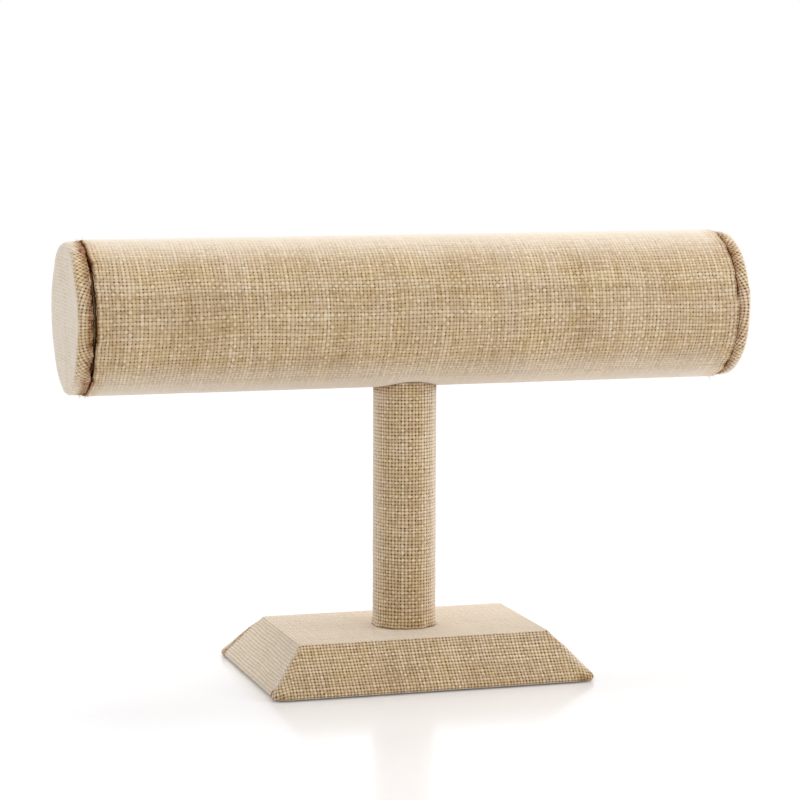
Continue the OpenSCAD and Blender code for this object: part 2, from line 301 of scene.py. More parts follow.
# %% Paths in a section
def arc(centre, radius, start, end, count):
    """Points on a circle from one angle to another, in degrees, both ends included."""
    angle = np.radians(np.linspace(start, end, count))
    return np.stack([centre[0] + radius * np.cos(angle), centre[1] + radius * np.sin(angle)], axis=1)


def lengths(path):
    """Distance of each point of a path from its start, along the path."""
    return np.concatenate([[0], np.cumsum(np.linalg.norm(np.diff(path, axis=0), axis=1))])


def left_normals(path):
    """Unit normals to the left of a path, square to the chord of the two neighbours."""
    chord = np.gradient(path, axis=0)
    normal = np.stack([-chord[:, 1], chord[:, 0]], axis=1)
    return normal / np.maximum(np.linalg.norm(normal, axis=1, keepdims=True), 1e-9)


# %% [markdown]
# The bar's linen is one rectangle rolled round the tube. It laps over itself in a seam
# low on the back, and each end is turned in over the tube's rim. The grid's columns run
# from the raw edge of the seam right round to the layer under it, so the step from the
# last column to the first is the raw edge itself. The real cloth has about 22 threads
# to the inch. Here it has 21, so that two grid lines to a thread stay within the size of
# mesh that one piece may have.

# %% The linen of the bar
BAR_THREADS_ROUND = 132
BAR_THREADS_ALONG = 180
BAR_DRIFT = 0.3 * MM
BAR_SHORT = 0.75 * MM
BAR_LIP = 0.9 * MM
WITHIN, OUTSIDE, END_FACE = 0, 1, 2


def lap_height(distance):
    """Height of a lap over the layer beside it, by the distance from its raw edge: one
    cloth up to the seam's width, then a ramp down."""
    return CLOTH_T * (1 - smooth(LAP_W, LAP_W + RAMP_W, distance))


def bar_section():
    """The section of the bar's linen as (along, radius). Each point also gets a kind, by
    where it lies, and its place in threads from the left end of the tube."""
    bore = tube_r - TUBE_WALL
    straight = tube_half + skin - BAR_FOLD_R
    outer = (2 * thread_lines(BAR_THREADS_ALONG, 2, 21) - 1) * straight
    outer = np.stack([outer, np.full(len(outer), bar_r)], axis=1)
    rim = arc((straight, bar_r - BAR_FOLD_R), BAR_FOLD_R, 60, 0, 3)
    end = np.concatenate([rim, [
        [tube_half + skin, bar_r - 1.5 * MM],
        [tube_half + skin, bore],
        [tube_half, bore - skin],
        [tube_half - BAR_HEM, bore - skin],
        [tube_half - BAR_HEM, bore - GLUE_T],
        [tube_half + GLUE_T, bore - GLUE_T],
        [tube_half + GLUE_T, tube_r + GLUE_T],
    ]])
    kind = np.repeat([OUTSIDE, END_FACE, WITHIN], [3, 2, 5])
    kind = np.concatenate([np.full(len(outer), OUTSIDE), kind, kind[::-1]])
    past_end = lengths(np.concatenate([outer[-1:], end]))[1:] / PITCH
    threads = np.concatenate([
        np.arange(len(outer)) / 2, BAR_THREADS_ALONG + past_end, -past_end[::-1],
    ])
    return np.concatenate([outer, end, end[::-1] * [-1, 1]]), kind, threads


def bar_sleeve():
    """The section carried round the axis, from the raw edge right round to the layer
    under it, with the lap's height added to the radius. At the left the turned edge falls
    unevenly short of its line, and at the right it stands out as a lip. The threads stray
    everywhere but near the ends and the seam. The cloth is made amber towards both ends, and
    on the folds and end faces, in the gap to the caps, that amber is painted shade."""
    path, kind, threads = bar_section()
    along, level = path[:, :1], path[:, 1:]
    columns = gathered(2 * BAR_THREADS_ROUND + 1, 8, kind != OUTSIDE)
    turn = 2 * np.pi * thread_lines(BAR_THREADS_ROUND, 2, 22)[columns]
    t = columns / 2
    s = threads[:, None] + 0 * t
    shown, on_end = kind[:, None] == OUTSIDE, kind[:, None] == END_FACE
    near_end = smooth(tube_half - 6 * MM, tube_half + skin, np.abs(along))
    calm = smooth(0, 8, t) * smooth(0, 8, BAR_THREADS_ROUND - t)
    lap = lap_height(turn * bar_r)

    depth = weave_relief(s, t, 31) * shown
    radius = level + depth * left_normals(path)[:, 1:] + lap * shown
    short = BAR_SHORT * uneven(turn * np.sign(along), 2557, 30)
    short = np.where(along < 0, short * (shown | on_end), (short - BAR_LIP) * shown) * near_end
    strayed_x = BAR_DRIFT * drift(s, t, 24) + wander(s, t, 26)
    strayed_round = BAR_DRIFT * drift(s, t, 25) + wander(t, s, 27)
    x = along - np.sign(along) * short + strayed_x * (1 - near_end) * calm * shown
    angle = BAR_SEAM + turn + strayed_round / bar_r * calm
    points = np.stack([x, radius * np.sin(angle), bar_axis_z - radius * np.cos(angle)], axis=2)

    # Amber towards both ends. On the folds, the left one most, and on the end faces and inner layers in the
    # gap to the caps, the amber is painted shade.
    seeped_and_shaded = 0.3 * smooth(tube_half - 5 * MM, tube_half, np.abs(along))
    on_fold = smooth(tube_half + 0.3 * MM, tube_half + skin, np.abs(along))
    seeped_and_shaded = seeped_and_shaded + on_fold * np.where(along < 0, 0.5, 0.1)
    stain_and_shade = np.where(shown, seeped_and_shaded, 1.0) * (1 - lap / CLOTH_T)
    return points, np.stack([s, t], axis=2), columns, stain_and_shade


bar_linen = add_linen("bar_linen", *bar_sleeve(), piece_shade=0.1, sleeve=True)

# %% [markdown]
# Each cap is a disc of board with a circle of the same linen pulled over it. The threads
# lie straight across the face, and on the rim they turn with it, so they cross the rim
# squarely at four places and slantwise between them. On the back the margin is snipped
# so that it lies flat, and each snip is a narrow V. The tabs between the snips swell a
# little towards the bar, so the gap beside it is narrow and dark.

# %% The linen of a cap
CAP_COLUMNS = 400
CAP_GRAIN = 0.39 * MM
CAP_UNEVEN = 0.3 * MM


def cap_section():
    """The section of a cap's linen as (radius, height over the bar's middle), from the
    middle of the face out, round the rim and onto the back, then in and home inside."""
    top, low = board_high[0] + skin, board_low[0] - skin
    flat_r, edge_r = cap_board_r - BOARD_EDGE_R, skin + BOARD_EDGE_R
    high_edge, low_edge = board_high[0] - BOARD_EDGE_R, board_low[0] + BOARD_EDGE_R
    fold_r, fold_z = flat_r + edge_r - CAP_FOLD_R, low + CAP_FOLD_R
    out = np.linspace(0, flat_r, round(flat_r / CAP_GRAIN) + 1)
    across = np.linspace(high_edge, fold_z, 6)
    front = np.concatenate([
        np.stack([out, np.full(len(out), top)], axis=1),
        arc((flat_r, high_edge), edge_r, 90, 0, 7)[1:-1],
        np.stack([np.full(6, flat_r + edge_r), across], axis=1),
        arc((fold_r, fold_z), CAP_FOLD_R, 0, -90, 4)[1:],
        [[fold_r - CAP_GRAIN, low]],
    ])
    margin = np.array([
        [fold_r - 1.5 * MM, low - MARGIN_SWELL],
        [cap_board_r - CAP_HEM / 2, low - MARGIN_SWELL],
        [cap_board_r - CAP_HEM, low],
        [cap_board_r - CAP_HEM, board_low[0] - GLUE_T],
    ])
    home = np.array([
        [flat_r, board_low[0] - GLUE_T],
        [cap_board_r + GLUE_T, low_edge],
        [cap_board_r + GLUE_T, high_edge],
        [flat_r, board_high[0] + GLUE_T],
        [cap_board_r / 2, board_high[0] + GLUE_T],
        [0, board_high[0] + GLUE_T],
    ])
    return front, margin, home


def cap_disc(side, seed, slack, back, edge_seed, drops):
    """A cap's section carried round the bar's axis at one end. Towards the middle of the
    face the columns are gathered by two, four and eight, so that the grid stays even.
    slack is how far the cloth stands off the face, back the least and most that its turned
    edge stands off the bar, edge_seed the seed of how it varies, and drops the angles in
    degrees of spots of glue on the rim."""
    front, margin, home = cap_section()
    path = np.concatenate([front, margin, home])
    row = np.arange(len(path))
    shown = (row < len(front))[:, None]
    in_margin = ((row >= len(front)) & (row < len(front) + len(margin)))[:, None]
    level, height = path[:, :1], path[:, 1:]
    group = np.select([~shown, level > 12 * MM, level > 6 * MM, level > 3 * MM], [2, 1, 2, 4], 8)
    columns = np.round(np.arange(CAP_COLUMNS) / group).astype(int) * group % CAP_COLUMNS
    turn = 2 * np.pi * columns / CAP_COLUMNS

    reach = lengths(path)[:, None] / PITCH
    s, t = reach * np.cos(turn), reach * np.sin(turn)
    s = s + 0.35 * drift(s, t, seed + 1) + wander(s, t, seed + 5) / PITCH
    t = t + 0.35 * drift(s, t, seed + 2) + wander(t, s, seed + 6) / PITCH
    depth = weave_relief(s, t, seed) * shown
    normal = left_normals(path)
    normal[0] = (0, 1)
    snip = in_margin & (columns % (CAP_COLUMNS // CAP_TABS) == CAP_COLUMNS // CAP_TABS // 2)
    radius = level + normal[:, :1] * depth + (cap_board_r - level) * 0.95 * snip
    radius = radius - CAP_UNEVEN * uneven(turn, seed + 3) * smooth(20 * MM, cap_board_r, level) * shown
    loose = slack + CAP_UNEVEN * uneven(turn, seed + 4) * smooth(10 * MM, 22 * MM, level)
    loose = loose * smooth(board_low[0], board_high[0], height)
    low_edge = back[0] + (back[1] - back[0]) * uneven(turn, edge_seed, 30)
    low_edge = low_edge * smooth(board_low[0] + 0.8 * MM, board_low[0] - skin, height) * (level > 20 * MM)
    rise = height + normal[:, 1:] * depth + (loose + low_edge) * shown
    points = np.stack([side * rise, side * radius * np.cos(turn), bar_axis_z + radius * np.sin(turn)], axis=2)
    # Painted shade: the rim is painted amber more and more towards the back, and the turned margin on the
    # back, in the gap to the bar, fully. The drops below are spots of glue.
    stain_and_shade = 0.6 * smooth(board_high[0], board_low[0], height)
    stain_and_shade = stain_and_shade + 0.4 * smooth(board_low[0] - 0.4 * skin, board_low[0] - skin, height)
    for angle in np.radians(drops):
        beside = np.abs((turn - angle + np.pi) % (2 * np.pi) - np.pi)
        stain_and_shade = stain_and_shade + smooth(0.045, 0.015, beside) * smooth(board_low[0] + 1 * MM, board_low[0], height)
    return points, np.stack([s, t], axis=2), columns, stain_and_shade + 0 * turn


left_grid = cap_disc(-1, 41, slack=0.3 * MM, back=(-0.45 * MM, 0.5 * MM), edge_seed=166, drops=(64, 308))
right_grid = cap_disc(1, 51, slack=0.6 * MM, back=(0.2 * MM, 0.5 * MM), edge_seed=58, drops=())
left_cap_linen = add_linen("left_cap_linen", *left_grid, piece_shade=0.6, sleeve=False)
right_cap_linen = add_linen("right_cap_linen", *right_grid, piece_shade=1.0, sleeve=False)

# %% [markdown]
# The post's linen is a sleeve with its lap down the back. Its top follows the saddle in
# which the bar lies: rows of threads that would rise above the saddle are cut off there,
# so the grid's rows simply stop at it. At the foot the cut edge spreads a little and
# runs unevenly, and glue has seeped up from it.

# %% The linen of the post
POST_THREADS_ROUND = 58
POST_THREADS_UP = 74
POST_GRAIN = 4
POST_DRIFT = 0.25 * MM
FOOT_FLARE = 0.6 * MM
FOOT_RISE = 0.4 * MM


def post_sleeve():
    """Rows of points up the outside, from the foot to above the saddle, then down the
    inside, with every height held below the saddle's curve."""
    length = POST_THREADS_UP * PITCH
    up = thread_lines(POST_THREADS_UP, POST_GRAIN, 61) * length
    height = post_low_z + np.concatenate([up, [length, length / 2, 0]])[:, None]
    shown = np.arange(len(height)) < len(up)
    columns = gathered(POST_THREADS_ROUND * POST_GRAIN + 1, 8, ~shown)
    shown = shown[:, None]
    turn = 2 * np.pi * thread_lines(POST_THREADS_ROUND, POST_GRAIN, 62)[columns]
    s = columns / POST_GRAIN
    t = np.arange(len(height))[:, None] / POST_GRAIN + 0 * s
    calm = smooth(0, 5, s) * smooth(0, 5, POST_THREADS_ROUND - s)
    strayed_round = POST_DRIFT * drift(s, 0 * s, 63) + wander(s, t, 68) * shown
    angle = math.pi / 2 - LAP_W / post_r / 2 + turn + strayed_round / post_r * calm

    level = np.where(shown, post_r + lap_height(turn * post_r), core_r + GLUE_T)
    saddle = bar_axis_z - np.sqrt((bar_r + SADDLE_GAP) ** 2 - (level * np.sin(angle)) ** 2)
    strayed_up = POST_DRIFT * drift(s, t, 66) + wander(t, s, 69)
    height = height + strayed_up * smooth(0, 5, t) * calm * shown
    cut_off = height > saddle
    height = np.minimum(height, saddle)
    t = np.where(cut_off & shown, np.interp(saddle - post_low_z, up, np.arange(len(up)) / POST_GRAIN), t)
    foot = smooth(3 * MM, 0, height - post_low_z) * shown
    radius = level + weave_relief(s, t, 64) * shown + FOOT_FLARE * foot * uneven(turn, 65)
    raised = height + FOOT_RISE * foot * uneven(turn, 70)
    points = np.stack([radius * np.cos(angle), radius * np.sin(angle), raised], axis=2)
    # Amber towards the foot, unevenly, is glue. Within 3 mm of the saddle, where the post meets the bar, the
    # amber is painted shade.
    soaked_and_shaded = smooth(9 * MM, 0, height - post_low_z) * uneven(turn, 67) + smooth(3 * MM, 0, saddle - height)
    return points, np.stack([s, t], axis=2), columns, 0.45 * soaked_and_shaded * shown


post_linen = add_linen("post_linen", *post_sleeve(), piece_shade=0.8, sleeve=True)

# %% [markdown]
# The base's linen is one rectangle too. Its threads lie square to the top and run
# straight down the four slopes. At each ridge there is cloth to spare, and it is folded:
# the cloth of the front and the back goes round the ridge and lies in a wedge over the
# cloth of the end. Below, the margin is turned under and mitred.
#
# The grid is a set of rings, from the middle of the top outwards. A ring's columns are
# the lines of the threads, and where a line reaches a ridge it stops there.

# %% The lines of the base's threads
BASE_GRAIN = 3
TOP_THREADS = (74, 42)
MORE_THREADS = 8
SLOPE_THREADS = 16
EDGE_THREADS = 2
CORNER_COLUMNS = 18
BASE_DRIFT = 0.2 * MM

low_core = block_high[:2] - BLOCK_CORNER_R
top_core = block_high[:2] - BEVEL - BLOCK_TOP_CORNER_R
slope_h = block_high[2] - block_low[2]
slope_angle = math.atan2(BEVEL.mean(), slope_h)
slope_l = math.hypot(BEVEL.mean(), slope_h)


def base_lines(axis):
    """Places of the thread lines that run down one pair of slopes: those that cross the
    top, and more on each side that start at a ridge."""
    more = thread_lines(MORE_THREADS, BASE_GRAIN, 71 + axis, 0.1)
    side = top_core[axis] + (low_core[axis] - top_core[axis]) * more
    top = (2 * thread_lines(TOP_THREADS[axis], BASE_GRAIN, 73 + axis, 0.1) - 1) * top_core[axis]
    return np.concatenate([-side[::-1], top[1:-1], side])


def thread_at(place, lines):
    """The place in threads of a point among the lines, with the same spacing beyond."""
    count = np.arange(len(lines)) / BASE_GRAIN
    beyond = np.maximum(place - lines[-1], 0) + np.minimum(place - lines[0], 0)
    return np.interp(place, lines, count) + beyond / PITCH


lines_x, lines_y = base_lines(0), base_lines(1)

# %% [markdown]
# Each ring is a row of numbers: where its straight sides end, how far its corners are
# rounded, its height, which way its normal leans, how far it lies beyond the edge of the
# top in threads, and how far down the slope.

# %% The rings of the base
def base_rings():
    """Rings from the middle of the top over the slopes, round the lower edge and under
    the margin, then back inside, as arrays of (low x, high x, low y, high y, corner
    radius, height, lean, threads beyond, share of the slope, whether the weave shows)."""
    more = MORE_THREADS * BASE_GRAIN
    top_z, low_z = block_high[2] + skin, block_low[2] - skin
    rings = []
    for k in range(TOP_THREADS[1] * BASE_GRAIN // 2, -1, -1):
        a, b = more + k, -1 - more - k
        sides = [lines_x[a], lines_x[b], lines_y[a], lines_y[b]]
        rings.append(sides + [0, top_z, np.pi / 2, -k / BASE_GRAIN, 0, 1])

    def ring(core, radius, z, lean, beyond, share, shown):
        rings.append([-core[0], core[0], -core[1], core[1], radius, z, lean, beyond, share, shown])

    def ring_at(share, lean, beyond, shown=1):
        core = top_core + (low_core - top_core) * share
        radius = BLOCK_TOP_CORNER_R + (BLOCK_CORNER_R - BLOCK_TOP_CORNER_R) * share
        z = block_high[2] - slope_h * share
        ring(core, radius + skin * math.cos(lean), z + skin * math.sin(lean), lean, beyond, share, shown)

    for i, lean in enumerate(np.linspace(np.pi / 2, slope_angle, BASE_GRAIN)[:-1], 1):
        ring_at(0, lean, i / BASE_GRAIN)
    for i, share in enumerate(thread_lines(SLOPE_THREADS, BASE_GRAIN, 75, 0.1)):
        ring_at(share, slope_angle, 1 + i / BASE_GRAIN)
    beyond = 1 + SLOPE_THREADS
    for i, lean in enumerate(np.linspace(slope_angle, -np.pi / 2, EDGE_THREADS * BASE_GRAIN + 1)[1:], 1):
        ring_at(1, lean, beyond + i / BASE_GRAIN, lean > -1)
    beyond += EDGE_THREADS
    hem = BASE_HEM - BLOCK_CORNER_R
    inside = block_low[2] - GLUE_T
    for share in (0, 0.5, 1):
        turned_in = (BLOCK_CORNER_R + hem * share) / PITCH
        ring(low_core - hem * share, 0.25 * MM, low_z, 0, beyond + turned_in, 1, 0)
    for share, z in ((1, inside), (0, inside)):
        ring(low_core - hem * share, 0.25 * MM, z, 0, beyond, 1, 0)
    ring(low_core, BLOCK_CORNER_R, inside, 0, beyond, 1, 0)
    ring(low_core, BLOCK_CORNER_R + GLUE_T, block_low[2], 0, beyond, 1, 0)
    ring(top_core, BLOCK_TOP_CORNER_R + GLUE_T, block_high[2], 0, 0, 0, 0)
    ring(top_core, BLOCK_TOP_CORNER_R, block_high[2] + GLUE_T, 0, 0, 0, 0)
    ring(top_core - top_core[1], 0, block_high[2] + GLUE_T, 0, 0, 0, 0)
    return np.array(rings, float)


def base_columns():
    """For each column the thread line that it follows, as an x and a y of which one lies
    far off, the direction outwards, and its number when columns are gathered by three.
    Each corner gets a fan of columns."""
    far = 1.0
    fan = np.arange(1, CORNER_COLUMNS) / CORNER_COLUMNS * np.pi / 2
    sides = [
        (lines_x, -far), (far, lines_y), (lines_x[::-1], far), (-far, lines_y[::-1]),
    ]
    rows, few, start = [], [], 0
    for quarter, (x, y) in enumerate(sides):
        out = np.pi / 2 * (quarter - 1)
        x, y = np.broadcast_arrays(x, y)
        corner = out + fan
        rows.append(np.stack([x, y, np.full(len(x), out)], axis=1))
        rows.append(np.stack([far * np.sign(np.cos(corner)), far * np.sign(np.sin(corner)), corner], axis=1))
        few.append(start + np.round(np.arange(len(x)) / 3).astype(int) * 3)
        start += len(x)
        few.append(start + np.arange(len(fan)) // 3 * 3 + 1)
        start += len(fan)
    return np.concatenate(rows), np.concatenate(few)


# %% [markdown]
# To find which thread passes a point of the fold, the cloth is laid flat in thought: the
# end slope is turned about the ridge into the plane of the front slope, where the
# threads are straight.

# %% The linen of the base
def base_grid():
    """A point is its thread line's place held within its ring's straight sides, plus the
    corner radius outwards, plus the relief and the fold's thickness along the normal. The
    threads stray along the surface, but not near a ridge. Glue has stained the four lower
    corners, each to its own degree, and left a drop at one of them."""
    rings = base_rings()
    line, few = base_columns()
    low_x, high_x, low_y, high_y, radius, z, lean, beyond, share, shown = (v[:, None] for v in rings.T)
    inner = np.arange(len(rings))[:, None] >= np.argmax(rings[:, 7] >= 1 + SLOPE_THREADS + EDGE_THREADS) + 1
    columns = np.where(inner, few, np.arange(len(line)))
    x_line, y_line, out = (line[columns, i] for i in range(3))
    core_x, core_y = np.clip(x_line, low_x, high_x), np.clip(y_line, low_y, high_y)
    away_x, away_y = np.cos(out), np.sin(out)
    on_front = np.abs(away_x) < 1e-6
    on_end = np.abs(away_y) < 1e-6

    s = thread_at(core_x, lines_x)
    t = thread_at(core_y, lines_y)
    last_s, last_t = 2 * MORE_THREADS + TOP_THREADS[0], 2 * MORE_THREADS + TOP_THREADS[1]
    end_s = np.where(away_x < 0, MORE_THREADS - beyond, last_s - MORE_THREADS + beyond)
    front_t = np.where(away_y < 0, MORE_THREADS - beyond, last_t - MORE_THREADS + beyond)
    ridge = np.array([low_core[0] - top_core[0], slope_l])
    ridge = ridge / np.linalg.norm(ridge)
    inward = np.where(on_end, high_y - np.abs(core_y), 0)
    turned = np.arctan2(np.abs(away_x), np.abs(away_y)) * ~on_front
    flat_x = high_x + ridge[1] * turned * radius + (ridge[1] ** 2 - ridge[0] ** 2) * inward
    flat_down = beyond * PITCH - ridge[0] * turned * radius - 2 * ridge[0] * ridge[1] * inward
    fold_s = thread_at(np.sign(core_x) * flat_x, lines_x)
    fold_t = np.where(core_y < 0, MORE_THREADS - flat_down / PITCH, last_t - MORE_THREADS + flat_down / PITCH)

    half_top, half_low = top_core[1] + BLOCK_TOP_CORNER_R + skin, block_high[1] + skin
    fold_edge = half_top + (half_low - FOLD_W - half_top) * share
    sideways = np.abs(core_y) + radius * np.abs(away_y)
    folded = smooth(-0.2 * MM, 0.4 * MM, sideways - fold_edge) * (beyond > 0.5) * ~on_front
    in_fold = (folded > 0.5) | (~on_end & ~on_front & (beyond > 0.5))
    s = np.where(in_fold, fold_s, np.where(on_end, end_s, s))
    t = np.where(in_fold, fold_t, np.where(on_front, front_t, t))

    inside_x = smooth(0, 4 * MM, high_x - np.abs(core_x)) * on_front * shown
    inside_y = smooth(0, 4 * MM, high_y - np.abs(core_y)) * on_end * shown
    core_x = core_x + (wander(s, t, 77) + BASE_DRIFT * drift(s, t, 80)) * inside_x
    core_y = core_y + (wander(t, s, 78) + BASE_DRIFT * drift(s, t, 81)) * inside_y
    inner_rows = smooth(-TOP_THREADS[1] / 2, 3 - TOP_THREADS[1] / 2, beyond) * smooth(0, -2, beyond)
    inner_rows = inner_rows + smooth(1, 3, beyond) * smooth(1 + SLOPE_THREADS, SLOPE_THREADS - 1, beyond)
    strayed = wander(beyond, np.where(on_front, s, t), 82) + BASE_DRIFT * drift(s, t, 83)
    strayed = strayed * inner_rows * (inside_x + inside_y)
    lift = FOLD_T * folded * smooth(0, np.pi / 2, turned) * np.clip(1.4 * np.cos(lean), 0, 1) * shown
    proud = weave_relief(s, t, 76) * shown + lift
    plan = radius + np.cos(lean) * proud + np.sin(lean) * strayed
    mitre = ~on_front & ~on_end & (lean == 0) & (radius < 0.3 * MM) & (z < block_low[2] - 0.5 * skin)
    height = z + np.sin(lean) * proud - np.cos(lean) * strayed + 0.7 * skin * mitre
    points = np.stack([core_x + away_x * plan, core_y + away_y * plan, height], axis=2)
    corner = np.hypot(low_core[0] - np.abs(core_x), low_core[1] - np.abs(core_y))
    soaked_and_shaded = np.select([(core_x < 0) & (core_y < 0), core_y < 0, core_x < 0], [0.4, 0.7, 0.5], 0.35)
    stain_and_shade = soaked_and_shaded * smooth(6 * MM, 0, corner) * smooth(6 * MM, 1 * MM, height) * shown
    from_drop = np.hypot(corner - BLOCK_CORNER_R / 2, height - 2.2 * MM)
    drop = smooth(1.3 * MM, 0.5 * MM, from_drop) * (core_x < 0) * (core_y < 0) * on_end
    return points, np.stack([s, t], axis=2), columns, stain_and_shade + drop


base_linen = add_linen("base_linen", *base_grid(), piece_shade=1.0, sleeve=False)

# %% [markdown]
# Where linen is cut and folded, single fibres work loose. Each is a very thin tube along
# a curved line: it starts at an edge, leaves it at some angle and curls.

# %% Loose fibres along the edges
FIBRE_R = 0.06 * MM


def fibre_roots(seed):
    """Where the fibres start, as points, with the way along the edge there and the way
    out: on both folds of the bar, on the caps' turned edges, round the post's foot and
    along the base's lower edge."""
    r = np.random.default_rng(seed)
    roots, edges, outs = [], [], []
    for x, radius, count in (
        (-tube_half - 0.6 * skin, bar_r, 140), (tube_half + skin, bar_r, 70),
        (-board_low[0] + 0.5 * skin, cap_board_r + skin, 140), (board_low[0], cap_board_r + skin, 50),
    ):
        angle = r.uniform(0, 2 * np.pi, count)
        out = np.stack([0 * angle, np.cos(angle), np.sin(angle)], axis=1)
        roots.append(np.array([x, 0, bar_axis_z]) + out * (radius - 0.25 * MM))
        edges.append(np.stack([0 * angle, -np.sin(angle), np.cos(angle)], axis=1))
        outs.append(out)
    angle = r.uniform(0, 2 * np.pi, 50)
    out = np.stack([np.cos(angle), np.sin(angle), 0.2 + 0 * angle], axis=1)
    roots.append(out * [post_r, post_r, 0] + [0, 0, post_low_z + 0.5 * MM])
    edges.append(np.stack([-np.sin(angle), np.cos(angle), 0 * angle], axis=1))
    outs.append(out)
    for axis, count in ((0, 70), (1, 50)):
        side = r.choice([-1, 1], count)
        out, edge = np.zeros((count, 3)), np.zeros((count, 3))
        out[:, 1 - axis], edge[:, axis] = side, 1
        place = r.uniform(-0.97, 0.97, count) * block_high[axis]
        root = out * (block_high[1 - axis] + 0.5 * skin) + edge * place[:, None]
        roots.append(root + [0, 0, block_low[2] + 0.3 * MM])
        edges.append(edge)
        outs.append(out + [0, 0, -0.1])
    return np.concatenate(roots), np.concatenate(edges), np.concatenate(outs)


def fibre_tubes(seed, steps=7, sides=4):
    """Points and faces of the tubes. A fibre's line is its root plus a way that turns with
    the distance, and its radius falls to a third at the tip. Both ends are closed."""
    root, edge, out = fibre_roots(seed)
    r = np.random.default_rng(seed + 1)
    count = len(root)
    u = np.linspace(0, 1, steps)[None, :, None]
    length = r.uniform(0.8, 3.2, (count, 1, 1)) * MM
    slew, curl = r.uniform(-1.4, 1.4, (count, 1, 1)), r.uniform(-1.8, 1.8, (count, 1, 1))
    side = np.cross(edge, out)
    way = edge[:, None] * np.sin(slew + curl * u) + out[:, None] * 0.6 * np.cos(slew + curl * u)
    way = way + side[:, None] * r.uniform(-0.25, 0.25, (count, 1, 1)) * u
    line = root[:, None] + np.cumsum(way, axis=1) * length / steps
    line[..., 2] = np.maximum(line[..., 2], 2 * FIBRE_R)
    ahead = np.gradient(line, axis=1)
    first = np.cross(ahead, side[:, None])
    first = first / np.maximum(np.linalg.norm(first, axis=2, keepdims=True), 1e-12)
    second = np.cross(ahead, first)
    second = second / np.maximum(np.linalg.norm(second, axis=2, keepdims=True), 1e-12)
    turn = 2 * np.pi * np.arange(sides) / sides
    round_it = first[:, :, None] * np.cos(turn)[:, None] + second[:, :, None] * np.sin(turn)[:, None]
    points = line[:, :, None] + round_it * FIBRE_R * (1 - 0.66 * u)[..., None]
    number = np.arange(count * steps * sides).reshape(count, steps, sides)
    after = np.roll(number, -1, axis=2)
    walls = np.stack([number[:, :-1], after[:, :-1], after[:, 1:], number[:, 1:]], axis=3)
    ends = np.concatenate([number[:, 0, ::-1], number[:, -1]])
    return points.reshape(-1, 3), np.concatenate([walls.reshape(-1, sides), ends])


points, faces = fibre_tubes(91)
fibres_piece = add_mesh("loose_fibres", points, faces.ravel(), np.arange(len(faces)) * 4)

# %% [markdown]
# Every material here is worked out by nodes. Colours are written as sRGB hex, as read
# from a colour card, and one function turns them to the linear values that Blender
# mixes. One small function adds a node with its settings and links.
#
# Two kinds of node have inputs that share a name, so here they are given by number. A
# Math node takes its values in order. A Mix node takes how much at 0 and two numbers at
# 2 and 3, or two colours at 6 and 7, and gives the mixed colour at its output 2.

# %% Colours and nodes
def colour(code):
    """An sRGB hex colour as linear red, green, blue and alpha."""
    part = np.array([int(code[i:i + 2], 16) for i in (0, 2, 4)]) / 255
    linear = np.where(part <= 0.04045, part / 12.92, ((part + 0.055) / 1.055) ** 2.4)
    return (*linear.tolist(), 1.0)


def add(tree, kind, inputs=(), output=0, **settings):
    """Adds a shader node, sets its properties, and sets or links its inputs, which are
    given by name or number, or else in order. Returns one of its outputs, or the node
    itself if output is None."""
    node = tree.nodes.new("ShaderNode" + kind)
    for name, value in settings.items():
        setattr(node, name, value)
    for name, value in inputs.items() if isinstance(inputs, dict) else enumerate(inputs):
        if isinstance(value, bpy.types.NodeSocket):
            tree.links.new(value, node.inputs[name])
        else:
            node.inputs[name].default_value = value
    return node if output is None else node.outputs[output]


def new_material(name):
    """An empty material and its node tree."""
    material = bpy.data.materials.new(name)
    material.use_nodes = True
    material.node_tree.nodes.clear()
    return material, material.node_tree


# %% [markdown]
# Natural linen is unbleached flax, woven from single yarns, stiffened and glued down.
# Its threads are pale straw, each of a slightly different shade. Between them are small
# holes, in which one sees the brown of the glue and the board, and the shade in them is
# painted into their dark brown. The material reads the map called threads, in which one
# unit is one thread, so the drawn threads lie exactly on the modelled ones. Here it finds
# which of the two threads is on top at a point.

# %% Natural linen: which thread is on top
linen, tree = new_material("natural_linen_plain_weave")


def half_sines(value):
    """0 at each line between two threads, 1 in the middle of each."""
    turn = add(tree, "Math", (value, math.pi), operation="MULTIPLY")
    sine = add(tree, "Math", (turn,), operation="SINE")
    return add(tree, "Math", (sine,), operation="ABSOLUTE")


def thread_height(wave_across, wave_along, sway):
    """A thread's height in halves of its width: the root of the wave across it, plus how
    far it sways over and under along the way."""
    rounded = add(tree, "Math", (wave_across, 0.5), operation="POWER")
    swayed = add(tree, "Math", (over, wave_along), operation="MULTIPLY")
    return add(tree, "Math", (swayed, sway, rounded), operation="MULTIPLY_ADD")


place = add(tree, "SeparateXYZ", {"Vector": add(tree, "UVMap", uv_map="threads")}).node
s, t = place.outputs["X"], place.outputs["Y"]
column = add(tree, "Math", (s,), operation="FLOOR")
row = add(tree, "Math", (t,), operation="FLOOR")
crossing = add(tree, "Math", (column, row), operation="ADD")
odd = add(tree, "Math", (crossing, 2), operation="FLOORED_MODULO")
over = add(tree, "Math", (odd, -2, 1), operation="MULTIPLY_ADD")
wave_s, wave_t = half_sines(s), half_sines(t)
warp, weft = thread_height(wave_t, wave_s, 0.4), thread_height(wave_s, wave_t, -0.4)
warp_on_top = add(tree, "Math", (warp, weft), operation="GREATER_THAN")
cloth_height = add(tree, "Math", (warp, weft), operation="MAXIMUM")

# %% [markdown]
# Each thread gets a shade of its own, and along it the shade changes slowly, as the
# yarn runs thick and thin. Very fine streaks along the thread are its fibres: real ones
# are 0.02 mm thick, and here they are drawn at about 0.1 mm. The whole cloth is a little
# lighter and darker in patches some 20 mm wide.

